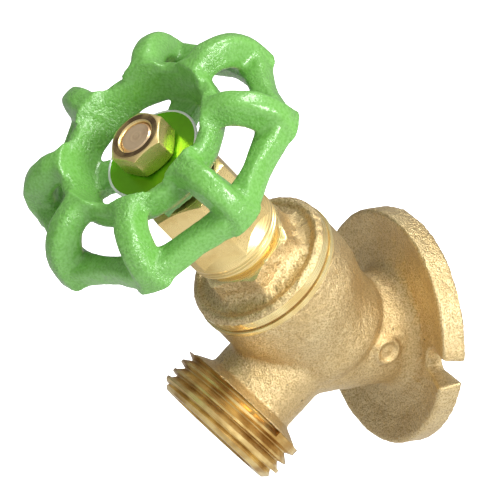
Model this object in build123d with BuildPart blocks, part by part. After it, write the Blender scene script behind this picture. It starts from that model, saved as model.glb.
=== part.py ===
from build123d import *
from math import cos, pi, radians, sin, tan
import os

os.makedirs("parts", exist_ok=True)

# A wall-mounted hose bib: inlet on the wall side, stem up and forward, hose outlet down and forward.
# Millimetres. The origin is the centre of the wall flange's back face, +Z is up, the wall is y = 0
# and the valve projects towards -Y. Stations along the stem are measured from where its axis
# crosses the inlet axis, and stations along the spout from where the spout axis crosses it.

# Where the three axes lie
stem_axis_y = 15.55
spout_axis_y = 21.85
stem_tilt = 45.0
spout_tilt = 45.0

# Clearances
running_gap = 0.05
thread_gap = 0.06
drive_gap = 0.06
open_gap = 0.45
wheel_gap = 0.7

# Wall flange
flange_radius = 22.0
flange_rim_thickness = 4.7
flange_web_thickness = 3.15
flange_rim_width = 0.7
flange_dish_width = 5.0
flange_edge_round = 0.6
slot_inner_x = 14.3
slot_width = 4.2
slot_flare = 7.7

# Inlet neck with a solder cup for nominal 1/2 inch copper tube
neck_radius = 10.4
neck_length = 19.5
neck_root_fillet = 2.5
cup_radius = 7.98
cup_depth = 12.7
passage_radius = 5.6
passage_depth = 16.15

# Globe and barrel
globe_radius = 12.3
globe_bottom = -1.3
globe_round = 4.0
globe_side_height = 2.3
globe_fillet = 1.1
barrel_radius = 14.1
barrel_bottom = 16.5
barrel_top = 22.6
barrel_lip_width = 0.25
barrel_lip_height = 1.0

# Seat and the spaces under and over it
seat_radius = 4.5
seat_ring_width = 1.7
seat_ring_height = 1.4
under_seat_radius = 6.0
under_seat_centre = -2.2
chamber_radius = 9.4
bonnet_thread_overrun = 1.0

# Spout and its hose thread, 11.5 threads to the inch
spout_radius = 9.1
spout_fillet = 1.6
spout_bore = 6.3
spout_bore_start = 3.1
spout_shoulder = 15.6
spout_shoulder_radius = 12.8
spout_shoulder_flare = 1.85
spout_end = 23.6
outlet_bore = 9.25
outlet_depth = 6.2
hose_thread_radius = 13.45
hose_thread_depth = 1.4
hose_thread_root_width = 0.2
hose_thread_flank = 30.0
hose_thread_pitch = 25.4 / 11.5
hose_thread_overcut = 0.2
hose_thread_inset = 0.2
hose_end_chamfer = 1.6

# Bonnet
gasket_thickness = 0.4
gasket_inset = 0.3
bonnet_shank_radius = 10.5
bonnet_shank_length = 5.0
bonnet_rim_radius = 14.0
bonnet_rim_height = 1.7
bonnet_dome_radius = 11.6
bonnet_dome_height = 0.9
bonnet_hex = 17.0
bonnet_hex_height = 7.9
bonnet_hex_turn = 38.4
bonnet_hex_top_radius = 7.9
bonnet_hex_chamfer = 35.0
bonnet_ring_radius = 7.6
bonnet_ring_height = 1.6
bonnet_neck_radius = 6.7
stem_bore_depth = 11.0
stem_guide_length = 4.0
stuffing_box_radius = 5.6
stuffing_box_depth = 12.0

# Packing, gland and packing nut
packing_washer_thickness = 1.0
packing_height = 8.6
packing_chamfer = 0.5
gland_height = 4.4
gland_flange_radius = 6.3
gland_flange_height = 1.6
packing_nut_hex = 15.9
packing_nut_turn = 51.9
packing_nut_top_radius = 7.7
packing_nut_chamfer = 30.0
packing_nut_collar_radius = 9.3
packing_nut_collar_height = 2.4
packing_nut_flare_radius = 7.6
packing_nut_flare_height = 2.2
packing_nut_roof = 4.2

# Stem and its travel from closed to open
stem_travel = 6.35
stem_radius = 3.5
stem_thread_radius = 4.8
stem_thread_length = 8.8
stem_thread_end_gap = 0.35
stem_thread_chamfer = 0.6
stem_drive_width = 5.2
stem_top_radius = 3.175
stem_end_inset = 0.26
stem_end_chamfer = 0.4
washer_cup_radius = 6.8
washer_cup_wall = 0.4
washer_cup_depth = 1.0
washer_cup_floor = 1.6
seat_washer_thickness = 2.6
screw_radius = 2.05
screw_length = 6.5
screw_head_radius = 3.3
screw_head_height = 1.5
screw_head_round = 0.6
screw_slot_width = 0.9
screw_slot_depth = 0.7

# Handwheel, with its heights measured from the top of the hub
wheel_turn = 3.9
hub_radius = 7.4
hub_height = 7.3
arm_count = 3
arm_turn = 110.0
arm_width = 7.0
arm_thickness = 2.8
ring_height = 5.7
ring_foot = 0.7
ring_step_height = 0.8
ring_inner_base = 12.0
ring_inner_crest = 14.2
ring_wall = 2.4
rim_tip_radius = 27.8
rim_lobe_half_angle = 4.5
rim_valley_radius = 24.6
rim_inner_radius = 20.5
rim_drop = 5.8
rim_height = 5.2
rim_round = 1.2
spoke_count = 8
spoke_height = 7.7
spoke_thickness = 5.4
spoke_depth = 5.2
spoke_round = 1.9
spoke_bend = 6.9

# Name plate and handle nut
plate_radius = 9.46
plate_thickness = 0.45
handle_nut_hex = 10.1
handle_nut_height = 5.56
handle_nut_turn = 19.5
handle_nut_end_radius = 4.7
handle_nut_chamfer = 30.0

# Stations along the stem, stacked from the barrel up, and down from the bonnet to the seat
bonnet_seat = barrel_top + gasket_thickness
bonnet_shank_bottom = bonnet_seat - bonnet_shank_length
bonnet_rim_top = bonnet_seat + bonnet_rim_height
bonnet_dome_top = bonnet_rim_top + bonnet_dome_height
bonnet_hex_top = bonnet_seat + bonnet_hex_height
packing_nut_base = bonnet_hex_top + bonnet_ring_height
stem_bore_top = bonnet_shank_bottom + stem_bore_depth
stuffing_box_floor = stem_bore_top + stem_guide_length
bonnet_neck_top = stuffing_box_floor + stuffing_box_depth
packing_bottom = stuffing_box_floor + packing_washer_thickness
packing_top = packing_bottom + packing_height
gland_top = packing_top + gland_height
packing_nut_top = gland_top + packing_nut_roof
hub_bottom = packing_nut_top + wheel_gap
hub_top = hub_bottom + hub_height
nut_base = hub_top + plate_thickness
nut_top = nut_base + handle_nut_height
washer_top = bonnet_shank_bottom - stem_travel - open_gap - washer_cup_floor
seat_top = washer_top - seat_washer_thickness
chamber_floor = seat_top - seat_ring_height
chamber_mouth = bonnet_shank_bottom - bonnet_thread_overrun
stem_thread_top = stem_bore_top - stem_travel - stem_thread_end_gap


def line_plane(axis_y, angle):
    """The plane square to an axis that leaves (0, -axis_y, 0) forward, angle degrees above level."""
    tilt = radians(angle)
    return Plane(origin=(0, -axis_y, 0), x_dir=(1, 0, 0), z_dir=(0, -cos(tilt), sin(tilt)))


def side_plane(line, turn=0):
    """The plane that holds an axis: local X is the radius, turned round it, and local Y is the axis."""
    outward = line.x_dir.rotate(Axis(line.origin, line.z_dir), turn)
    return Plane(origin=line.origin, x_dir=outward, z_dir=outward.cross(line.z_dir))


inlet = Plane(origin=(0, 0, 0), x_dir=(1, 0, 0), z_dir=(0, -1, 0))
stem_line = line_plane(stem_axis_y, stem_tilt)
spout_line = line_plane(spout_axis_y, -spout_tilt)
inlet_axis = Axis(inlet.origin, inlet.z_dir)
stem_axis = Axis(stem_line.origin, stem_line.z_dir)
spout_axis = Axis(spout_line.origin, spout_line.z_dir)


def free_form(edge):
    return edge.geom_type not in (GeomType.CIRCLE, GeomType.LINE)


def round_bar(line, bottom, top, radius, mode=Mode.ADD):
    with BuildSketch(line.offset(bottom)) as outline:
        Circle(radius)
    extrude(outline.sketch, amount=top - bottom, mode=mode)


def hexagon_bar(line, bottom, top, across_flats, turn):
    with BuildSketch(line.offset(bottom)) as outline:
        RegularPolygon(across_flats / 2, 6, major_radius=False, rotation=turn)
    extrude(outline.sketch, amount=top - bottom)


def turned_end(line, end, across_flats, end_radius, angle, length):
    """The space inside a hexagon bar's conical turned end: intersecting with it chamfers the corners.

    The length runs back down the axis from the end. With the angle and the length below zero, it runs up.
    """
    corner = across_flats / 2 / cos(pi / 6)
    drop = (corner - end_radius) * tan(radians(angle))
    with BuildSketch(side_plane(line)) as outline:
        with BuildLine():
            Polyline(
                (0, end),
                (end_radius, end),
                (corner, end - drop),
                (corner, end - length),
                (0, end - length),
                close=True,
            )
        make_face()
    return outline.sketch


# Hose end: one V-shaped groove wound from the shoulder out past the open end
with BuildPart() as hose_end_bar:
    round_bar(spout_line, spout_shoulder, spout_end, hose_thread_radius)
    thread_length = spout_end - spout_shoulder - hose_thread_inset + hose_thread_pitch
    with BuildLine(mode=Mode.PRIVATE) as thread_run:
        Helix(hose_thread_pitch, thread_length, hose_thread_radius)
    groove = thread_run.edge().moved(spout_line.offset(spout_shoulder + hose_thread_inset).location)
    with BuildSketch(Plane(origin=groove @ 0, x_dir=spout_line.x_dir, z_dir=groove % 0)):
        half_root = hose_thread_root_width / 2
        half_mouth = half_root + (hose_thread_depth + hose_thread_overcut) * tan(radians(hose_thread_flank))
        with BuildLine():
            Polyline(
                (-hose_thread_depth, -half_root),
                (hose_thread_overcut, -half_mouth),
                (hose_thread_overcut, half_mouth),
                (-hose_thread_depth, half_root),
                close=True,
            )
        make_face()
    sweep(path=groove, mode=Mode.SUBTRACT)
    with BuildSketch(side_plane(spout_line)):
        end_radius = hose_thread_radius - hose_end_chamfer
        with BuildLine():
            Polyline(
                (end_radius, spout_end),
                (hose_thread_radius, spout_end - hose_end_chamfer),
                (hose_thread_radius + hose_end_chamfer, spout_end - hose_end_chamfer),
                (hose_thread_radius + hose_end_chamfer, spout_end),
                close=True,
            )
        make_face()
    revolve(axis=spout_axis, mode=Mode.SUBTRACT)

# Valve body: one brass casting, with its bores, seat and hose thread machined
with BuildPart() as valve_body:
    # Wall flange, dished between its rim and the fillet to the inlet neck, and the neck's round end
    with BuildSketch(side_plane(inlet)) as flange_profile:
        rim_inner = flange_radius - flange_rim_width
        with BuildLine():
            Polyline(
                (0, neck_length + neck_radius),
                (0, 0),
                (flange_radius, 0),
                (flange_radius, flange_rim_thickness),
                (rim_inner, flange_rim_thickness),
                (rim_inner - flange_dish_width, flange_web_thickness),
                (neck_radius, flange_web_thickness),
                (neck_radius, neck_length),
            )
            RadiusArc((neck_radius, neck_length), (0, neck_length + neck_radius), -neck_radius)
        make_face()
        fillet(flange_profile.vertices().group_by(Axis.X)[-1].sort_by(Axis.Y)[-1], flange_edge_round)
        root = flange_profile.vertices().sort_by_distance((neck_radius, flange_web_thickness))[0]
        fillet(root, neck_root_fillet)
    revolve(axis=inlet_axis)

    # Globe, rising into the round barrel that carries the bonnet
    with BuildSketch(side_plane(stem_line)):
        with BuildLine():
            side_bottom = (globe_radius, globe_bottom + globe_round)
            side_top = (globe_radius, globe_bottom + globe_round + globe_side_height)
            Line((0, globe_bottom), (globe_radius - globe_round, globe_bottom))
            RadiusArc((globe_radius - globe_round, globe_bottom), side_bottom, -globe_round)
            Line(side_bottom, side_top)
            Spline(side_top, (barrel_radius, barrel_bottom), tangents=[(0, 1), (0, 1)])
            Polyline(
                (barrel_radius, barrel_bottom),
                (barrel_radius, barrel_top - barrel_lip_height),
                (barrel_radius + barrel_lip_width, barrel_top - barrel_lip_height),
                (barrel_radius + barrel_lip_width, barrel_top),
                (0, barrel_top),
                (0, globe_bottom),
            )
        make_face()
    revolve(axis=stem_axis)
    fillet(valve_body.edges(Select.NEW).filter_by(free_form), globe_fillet)

    # Spout, with a flared shoulder behind the hose thread
    with BuildSketch(side_plane(spout_line)):
        with BuildLine():
            Polyline(
                (0, 0),
                (spout_radius, 0),
                (spout_radius, spout_shoulder - spout_shoulder_flare),
                (spout_shoulder_radius, spout_shoulder),
                (0, spout_shoulder),
                close=True,
            )
        make_face()
    revolve(axis=spout_axis)
    fillet(valve_body.edges(Select.NEW).filter_by(free_form), spout_fillet)

    # Hose end
    add(hose_end_bar.part)

    # Inlet: solder cup, its stop, and the passage that turns up under the seat
    round_bar(inlet, 0, cup_depth, cup_radius, Mode.SUBTRACT)
    round_bar(inlet, 0, passage_depth, passage_radius, Mode.SUBTRACT)
    with BuildSketch(side_plane(stem_line)):
        with BuildLine():
            under_pole = (0, under_seat_centre - under_seat_radius)
            RadiusArc(under_pole, (under_seat_radius, under_seat_centre), -under_seat_radius)
            mouth = (seat_radius, under_seat_centre + (under_seat_radius**2 - seat_radius**2) ** 0.5)
            RadiusArc((under_seat_radius, under_seat_centre), mouth, -under_seat_radius)
            Polyline(mouth, (seat_radius, seat_top), (0, seat_top), under_pole)
        make_face()
    revolve(axis=stem_axis, mode=Mode.SUBTRACT)

    # Chamber round the raised seat, and the threaded mouth for the bonnet
    with BuildSketch(side_plane(stem_line)):
        with BuildLine():
            Polyline(
                (seat_radius + seat_ring_width, chamber_floor),
                (chamber_radius, chamber_floor),
                (chamber_radius, chamber_mouth),
                (bonnet_shank_radius + thread_gap, chamber_mouth),
                (bonnet_shank_radius + thread_gap, barrel_top),
                (0, barrel_top),
                (0, seat_top),
                (seat_radius + seat_ring_width, seat_top),
                close=True,
            )
        make_face()
    revolve(axis=stem_axis, mode=Mode.SUBTRACT)

    # Spout passage and the wider outlet behind the hose washer's seat
    round_bar(spout_line, spout_bore_start, spout_end, spout_bore, Mode.SUBTRACT)
    round_bar(spout_line, spout_end - outlet_depth, spout_end, outlet_bore, Mode.SUBTRACT)

    # Two open screw slots, which widen from the wall side to the front
    with BuildSketch(inlet):
        slot_end = flange_radius + slot_width
        slot_centre = (slot_inner_x + slot_width / 2 + slot_end) / 2
        for side in (-1, 1):
            with Locations((side * slot_centre, 0)):
                SlotCenterToCenter(slot_end - slot_inner_x - slot_width / 2, slot_width)
    extrude(amount=flange_rim_thickness, taper=-slot_flare, mode=Mode.SUBTRACT)
valve_body.part.label = "valve_body"
export_step(valve_body.part, "parts/valve_body.step")

# Bonnet gasket: flat ring in the joint between body and bonnet
with BuildPart() as bonnet_gasket:
    with BuildSketch(stem_line.offset(barrel_top)):
        Circle(bonnet_rim_radius - gasket_inset)
        Circle(bonnet_shank_radius + thread_gap, mode=Mode.SUBTRACT)
    extrude(amount=gasket_thickness)
bonnet_gasket.part.label = "bonnet_gasket"
export_step(bonnet_gasket.part, "parts/bonnet_gasket.step")

# Bonnet: cast brass hexagon over a turned rim, with the stuffing box in its neck
with BuildPart() as bonnet:
    hexagon_bar(stem_line, bonnet_seat, bonnet_hex_top, bonnet_hex, bonnet_hex_turn)
    add(
        revolve(
            turned_end(
                stem_line, bonnet_hex_top, bonnet_hex, bonnet_hex_top_radius,
                bonnet_hex_chamfer, bonnet_hex_height,
            ),
            axis=stem_axis,
            mode=Mode.PRIVATE,
        ),
        mode=Mode.INTERSECT,
    )
    with BuildSketch(side_plane(stem_line)):
        with BuildLine():
            root = bonnet_hex / 2
            Polyline(
                (root, bonnet_dome_top),
                (0, bonnet_dome_top),
                (0, bonnet_shank_bottom),
                (bonnet_shank_radius, bonnet_shank_bottom),
                (bonnet_shank_radius, bonnet_seat),
                (bonnet_rim_radius, bonnet_seat),
                (bonnet_rim_radius, bonnet_rim_top),
            )
            Spline(
                (bonnet_rim_radius, bonnet_rim_top),
                (bonnet_dome_radius, bonnet_dome_top),
                tangents=[(0, 1), (-1, 0)],
            )
            Line(
                (bonnet_dome_radius, bonnet_dome_top),
                (root, bonnet_dome_top),
            )
        make_face()
    revolve(axis=stem_axis)
    round_bar(stem_line, bonnet_hex_top, packing_nut_base, bonnet_ring_radius)
    round_bar(stem_line, packing_nut_base, bonnet_neck_top, bonnet_neck_radius)
    round_bar(stem_line, bonnet_shank_bottom, stem_bore_top, stem_thread_radius + running_gap, Mode.SUBTRACT)
    round_bar(stem_line, bonnet_shank_bottom, bonnet_neck_top, stem_radius + running_gap, Mode.SUBTRACT)
    round_bar(stem_line, stuffing_box_floor, bonnet_neck_top, stuffing_box_radius, Mode.SUBTRACT)
bonnet.part.label = "bonnet"
export_step(bonnet.part, "parts/bonnet.step")

# Packing washer: brass ring on the floor of the stuffing box
with BuildPart() as packing_washer:
    with BuildSketch(stem_line.offset(stuffing_box_floor)):
        Circle(stuffing_box_radius - running_gap)
        Circle(stem_radius + running_gap, mode=Mode.SUBTRACT)
    extrude(amount=packing_washer_thickness)
packing_washer.part.label = "packing_washer"
export_step(packing_washer.part, "parts/packing_washer.step")

# Stem packing: soft ring pressed round the stem, dished at both ends
with BuildPart() as stem_packing:
    with BuildSketch(stem_line.offset(packing_bottom)):
        Circle(stuffing_box_radius - running_gap)
        Circle(stem_radius + running_gap, mode=Mode.SUBTRACT)
    extrude(amount=packing_height)
    chamfer(stem_packing.edges().filter_by(GeomType.CIRCLE), packing_chamfer)
stem_packing.part.label = "stem_packing"
export_step(stem_packing.part, "parts/stem_packing.step")

# Packing gland: brass follower between packing and packing nut
with BuildPart() as packing_gland:
    round_bar(stem_line, packing_top, gland_top, stuffing_box_radius - running_gap)
    round_bar(stem_line, gland_top - gland_flange_height, gland_top, gland_flange_radius)
    round_bar(stem_line, packing_top, gland_top, stem_radius + running_gap, Mode.SUBTRACT)
packing_gland.part.label = "packing_gland"
export_step(packing_gland.part, "parts/packing_gland.step")

# Packing nut: tall hexagon flaring to a round collar, threaded on the bonnet's neck
with BuildPart() as packing_nut:
    hexagon_bar(stem_line, packing_nut_base, packing_nut_top, packing_nut_hex, packing_nut_turn)
    add(
        revolve(
            turned_end(
                stem_line, packing_nut_top, packing_nut_hex, packing_nut_top_radius,
                packing_nut_chamfer, packing_nut_top - packing_nut_base,
            ),
            axis=stem_axis,
            mode=Mode.PRIVATE,
        ),
        mode=Mode.INTERSECT,
    )
    collar_top = packing_nut_base + packing_nut_collar_height
    with BuildSketch(side_plane(stem_line)):
        with BuildLine():
            Polyline(
                (0, packing_nut_base),
                (packing_nut_collar_radius, packing_nut_base),
                (packing_nut_collar_radius, collar_top),
                (packing_nut_flare_radius, collar_top + packing_nut_flare_height),
                (0, collar_top + packing_nut_flare_height),
                close=True,
            )
        make_face()
    revolve(axis=stem_axis)
    round_bar(stem_line, packing_nut_base, gland_top, bonnet_neck_radius + thread_gap, Mode.SUBTRACT)
    round_bar(stem_line, gland_top, packing_nut_top, stem_radius + running_gap, Mode.SUBTRACT)
packing_nut.part.label = "packing_nut"
export_step(packing_nut.part, "parts/packing_nut.step")

# Stem: disc for the seat washer, operating thread, shaft, square drive and threaded end
with BuildPart() as stem:
    round_bar(stem_line, washer_top - washer_cup_depth, washer_top + washer_cup_floor, washer_cup_radius)
    round_bar(stem_line, washer_top, hub_bottom, stem_radius)
    round_bar(stem_line, stem_thread_top - stem_thread_length, stem_thread_top, stem_thread_radius)
    chamfer(
        stem.edges().filter_by(GeomType.CIRCLE).filter_by(
            lambda edge: abs(edge.radius - stem_thread_radius) < running_gap
        ),
        stem_thread_chamfer,
    )
    with BuildSketch(stem_line.offset(hub_bottom)):
        Circle(stem_radius)
        Rectangle(stem_drive_width, stem_drive_width, rotation=wheel_turn, mode=Mode.INTERSECT)
    extrude(amount=hub_top - hub_bottom)
    round_bar(stem_line, hub_top, nut_top - stem_end_inset, stem_top_radius)
    chamfer(stem.edges().filter_by(GeomType.CIRCLE).sort_by(stem_axis)[-1], stem_end_chamfer)
    round_bar(
        stem_line,
        washer_top - washer_cup_depth,
        washer_top,
        washer_cup_radius - washer_cup_wall,
        Mode.SUBTRACT,
    )
    round_bar(stem_line, washer_top, washer_top + screw_length, screw_radius + running_gap, Mode.SUBTRACT)
stem.part.label = "stem"
export_step(stem.part, "parts/stem.step")

# Seat washer: flat rubber disc held in the stem's cup
with BuildPart() as seat_washer:
    with BuildSketch(stem_line.offset(seat_top)):
        Circle(washer_cup_radius - washer_cup_wall - running_gap)
        Circle(screw_radius + running_gap, mode=Mode.SUBTRACT)
    extrude(amount=seat_washer_thickness)
seat_washer.part.label = "seat_washer"
export_step(seat_washer.part, "parts/seat_washer.step")

# Bibb screw: slotted oval-head brass screw that holds the washer
with BuildPart() as bibb_screw:
    round_bar(stem_line, seat_top, seat_top + screw_length, screw_radius)
    round_bar(stem_line, seat_top - screw_head_height, seat_top, screw_head_radius)
    head_edge = bibb_screw.edges().filter_by(GeomType.CIRCLE).sort_by(stem_axis)[0]
    fillet(head_edge, screw_head_round)
    with BuildSketch(stem_line.offset(seat_top - screw_head_height)):
        Rectangle(2 * screw_head_radius, screw_slot_width)
    extrude(amount=screw_slot_depth, mode=Mode.SUBTRACT)
bibb_screw.part.label = "bibb_screw"
export_step(bibb_screw.part, "parts/bibb_screw.step")

# Handwheel: one casting with a hub, three arms, a funnel-shaped ring, eight arched spokes and a rim
with BuildPart() as handwheel:
    # Ring between the arms and the spokes
    ring_bottom = hub_top - ring_foot
    ring_crest = hub_top + ring_height
    ring_outer = ring_inner_crest + ring_wall
    wheel_top = hub_top + spoke_height
    rim_bottom = hub_top - rim_drop
    with BuildSketch(side_plane(stem_line)) as ring_profile:
        with BuildLine():
            Polyline(
                (ring_inner_base - ring_wall, ring_bottom),
                (ring_inner_base - ring_wall, ring_crest),
                (ring_outer, ring_crest),
                (ring_outer, hub_top + ring_step_height),
                (ring_inner_base + ring_wall, ring_bottom),
                close=True,
            )
        make_face()
        fillet(ring_profile.vertices().sort_by_distance((ring_outer, ring_crest))[0], ring_wall / 2)
        fillet(ring_profile.vertices().sort_by_distance((ring_outer, hub_top + ring_step_height))[0], ring_wall)
    revolve(axis=stem_axis)

    # Scalloped rim, a lobe under each spoke
    with BuildSketch(stem_line.offset(rim_bottom)):
        lobe_points = []
        for index in range(spoke_count):
            middle = wheel_turn + 360 / spoke_count * index
            for radius, turn in (
                (rim_tip_radius, middle - rim_lobe_half_angle),
                (rim_tip_radius, middle + rim_lobe_half_angle),
                (rim_valley_radius, middle + 180 / spoke_count),
            ):
                lobe_points.append((radius * cos(radians(turn)), radius * sin(radians(turn))))
        with BuildLine():
            Spline(*lobe_points, periodic=True)
        make_face()
        Circle(rim_inner_radius, mode=Mode.SUBTRACT)
    extrude(amount=rim_height)
    shortest_outline = 2 * pi * rim_inner_radius
    rim_edges = handwheel.edges(Select.LAST).filter_by(lambda edge: edge.length > shortest_outline / 2)
    fillet(rim_edges, rim_round)

    # Spokes: each a rounded bar that arches from the ring over to its lobe
    crest_line = wheel_top - spoke_depth / 2
    foot_line = rim_tip_radius - spoke_depth / 2
    for index in range(spoke_count):
        plane = side_plane(stem_line, wheel_turn + 360 / spoke_count * index)
        with BuildLine(plane) as arch:
            FilletPolyline(
                (ring_inner_base, crest_line),
                (foot_line, crest_line),
                (foot_line, rim_bottom + rim_round),
                radius=spoke_bend,
            )
        with BuildSketch(Plane(origin=arch.line @ 0, x_dir=plane.z_dir, z_dir=arch.line % 0)):
            RectangleRounded(spoke_thickness, spoke_depth, spoke_round)
        sweep()

    # Funnel that the plate and the nut stand in
    with BuildSketch(side_plane(stem_line)):
        flare = (ring_inner_crest - ring_inner_base) / (ring_crest - hub_top)
        with BuildLine():
            Polyline(
                (0, ring_bottom),
                (ring_inner_base + ring_foot, ring_bottom),
                (ring_inner_base, hub_top),
                (ring_inner_base + flare * (wheel_top - hub_top), wheel_top),
                (0, wheel_top),
                close=True,
            )
        make_face()
    revolve(axis=stem_axis, mode=Mode.SUBTRACT)

    # Hub and its arms
    round_bar(stem_line, hub_bottom, hub_top, hub_radius)
    with BuildSketch(stem_line.offset(hub_top - arm_thickness)):
        with PolarLocations((hub_radius + ring_inner_base) / 2, arm_count, start_angle=arm_turn):
            Rectangle(ring_inner_base - hub_radius + 2 * ring_wall, arm_width)
    extrude(amount=arm_thickness)

    # Square hole for the stem, and clearance for its threaded end
    with BuildSketch(stem_line.offset(hub_bottom)):
        Rectangle(stem_drive_width + 2 * drive_gap, stem_drive_width + 2 * drive_gap, rotation=wheel_turn)
    extrude(amount=hub_top - hub_bottom, mode=Mode.SUBTRACT)
handwheel.part.label = "handwheel"
export_step(handwheel.part, "parts/handwheel.step")

# Name plate: thin anodised disc between hub and handle nut
with BuildPart() as handwheel_plate:
    with BuildSketch(stem_line.offset(hub_top)):
        Circle(plate_radius)
        Circle(stem_top_radius + thread_gap, mode=Mode.SUBTRACT)
    extrude(amount=plate_thickness)
handwheel_plate.part.label = "handwheel_plate"
export_step(handwheel_plate.part, "parts/handwheel_plate.step")

# Handle nut: brass hexagon nut chamfered at both ends
with BuildPart() as handle_nut:
    hexagon_bar(stem_line, nut_base, nut_top, handle_nut_hex, handle_nut_turn)
    for end, way in ((nut_top, 1), (nut_base, -1)):
        add(
            revolve(
                turned_end(
                    stem_line, end, handle_nut_hex, handle_nut_end_radius,
                    way * handle_nut_chamfer, way * handle_nut_height,
                ),
                axis=stem_axis,
                mode=Mode.PRIVATE,
            ),
            mode=Mode.INTERSECT,
        )
    round_bar(stem_line, nut_base, nut_top, stem_top_radius + thread_gap, Mode.SUBTRACT)
handle_nut.part.label = "handle_nut"
export_step(handle_nut.part, "parts/handle_nut.step")
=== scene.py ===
import math

import bmesh
import bpy
from mathutils import Matrix, Vector, noise


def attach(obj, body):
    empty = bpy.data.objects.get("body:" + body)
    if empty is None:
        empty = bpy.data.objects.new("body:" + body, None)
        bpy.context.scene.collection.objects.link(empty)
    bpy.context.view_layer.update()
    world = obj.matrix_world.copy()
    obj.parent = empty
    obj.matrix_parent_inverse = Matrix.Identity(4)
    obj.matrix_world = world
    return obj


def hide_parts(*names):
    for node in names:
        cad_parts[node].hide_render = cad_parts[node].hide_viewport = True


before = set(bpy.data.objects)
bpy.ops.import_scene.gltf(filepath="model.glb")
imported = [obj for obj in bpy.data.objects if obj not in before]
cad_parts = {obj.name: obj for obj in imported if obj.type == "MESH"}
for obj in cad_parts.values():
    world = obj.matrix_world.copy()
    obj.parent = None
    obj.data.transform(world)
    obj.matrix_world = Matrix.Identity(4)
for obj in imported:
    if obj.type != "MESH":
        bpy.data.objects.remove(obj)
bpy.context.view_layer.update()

# Valve body
# A brass sand casting: wall flange, inlet neck, globe and spout in one piece. The outside is as cast, with
# a fine grain, eased edges and a plain round foundry mark on the neck.
# Sizes are in millimetres, and stations run along the stem or the spout from where its axis starts.
MM = 0.001
STEM_AXIS_Y = -15.55
SPOUT_AXIS_Y = -21.85
BARREL_LIP_BOTTOM = 21.6
SPOUT_SHOULDER = 15.6
BODY_GRID = 0.38
NECK_RADIUS = 10.4
WALL = 0.0
MARK_STATION = 9.6
MARK_RISE = 0.5
MARK_RADIUS = 2.5
MARK_HEIGHT = 0.7
MARK_RIM = 0.55
MARK_FLOOR = 0.1
MARK_DOME_RADIUS = 0.8
MARK_DOME = 0.4
MARK_ROOT = -1
MARK_STEPS = 32
EASE_PASSES = 3
SAND_LUMP = 4.0
SAND_LUMP_DEPTH = 0.12
SAND_RIPPLE = 1.2
SAND_RIPPLE_DEPTH = 0.08
STAIN_WIDTH = 8.0


def axis_frame(start_y, direction):
    """From millimetres about an axis, Z out along it and X across the valve, to the valve's metres."""
    out = Vector(direction).normalized()
    across = Vector((1, 0, 0))
    turned = Matrix((across, out.cross(across), out)).transposed().to_4x4()
    return Matrix.Translation((0, start_y * MM, 0)) @ turned @ Matrix.Scale(MM, 4)


valve_frame = Matrix.Scale(MM, 4)
stem_frame = axis_frame(STEM_AXIS_Y, (0, -1, 1))
spout_frame = axis_frame(SPOUT_AXIS_Y, (0, -1, -1))


def copy_of(node):
    """A welded copy of a CAD node's mesh, in millimetres."""
    shape = bmesh.new()
    shape.from_mesh(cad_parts[node].data)
    bmesh.ops.transform(shape, matrix=valve_frame.inverted(), verts=shape.verts)
    bmesh.ops.remove_doubles(shape, verts=shape.verts, dist=0.002)
    return shape


def saw_off(shape, line, station, far_side=True):
    """Cuts away what lies past a station on an axis, or before it, and closes the cut."""
    cut_at = valve_frame.inverted() @ line @ Vector((0, 0, station))
    out = line.to_3x3() @ Vector((0, 0, 1 if far_side else -1))
    cut = bmesh.ops.bisect_plane(
        shape, geom=shape.verts[:] + shape.edges[:] + shape.faces[:],
        dist=0.0001, plane_co=cut_at, plane_no=out.normalized(), clear_outer=True,
    )
    rim = [edge for edge in cut["geom_cut"] if isinstance(edge, bmesh.types.BMEdge)]
    bmesh.ops.triangle_fill(shape, edges=rim, use_beauty=True)


def spun(profile, steps, closed=False):
    """A shape turned about Z from points of (radius, height). Each vertex remembers its point's number."""
    shape = bmesh.new()
    number = shape.verts.layers.int.new("number")
    verts = []
    for index, (radius, height) in enumerate(profile):
        verts.append(shape.verts.new((radius, 0, height)))
        verts[-1][number] = index
    ends = verts[1:] + verts[:1] if closed else verts[1:]
    edges = [shape.edges.new(pair) for pair in zip(verts, ends)]
    bmesh.ops.spin(
        shape, geom=verts + edges, cent=(0, 0, 0), axis=(0, 0, 1),
        angle=math.tau, steps=steps, use_merge=True,
    )
    # A point on the axis comes out of the spin once for each step.
    bmesh.ops.remove_doubles(shape, verts=shape.verts, dist=0.001)
    return shape


def join(shape, other, place=None):
    """Adds another shape to this one, placed by a matrix."""
    mesh = bpy.data.meshes.new("joined")
    bmesh.ops.recalc_face_normals(other, faces=other.faces)
    if place:
        bmesh.ops.transform(other, matrix=place, verts=other.verts)
    other.to_mesh(mesh)
    other.free()
    shape.from_mesh(mesh)
    bpy.data.meshes.remove(mesh)


def cast(shape, grid, passes):
    """The shape as it leaves the sand: one closed skin of small even faces, with its edges eased."""
    mesh = bpy.data.meshes.new("pattern")
    shape.to_mesh(mesh)
    shape.free()
    pattern = bpy.data.objects.new("pattern", mesh)
    bpy.context.scene.collection.objects.link(pattern)
    skin = pattern.modifiers.new("skin", "REMESH")
    skin.mode = "VOXEL"
    skin.voxel_size = grid
    ease = pattern.modifiers.new("ease", "SMOOTH")
    ease.factor = 0.5
    ease.iterations = passes
    evaluated = pattern.evaluated_get(bpy.context.evaluated_depsgraph_get())
    casting = bmesh.new()
    casting.from_mesh(evaluated.to_mesh())
    evaluated.to_mesh_clear()
    bpy.data.objects.remove(pattern)
    bpy.data.meshes.remove(mesh)
    return casting


def roughen(shape, size, depth):
    """Lumps of a given size and depth in millimetres, as the sand and the cooling metal leave them."""
    shape.normal_update()
    for vert in shape.verts:
        vert.co += vert.normal * depth * noise.noise(vert.co / size)


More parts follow.
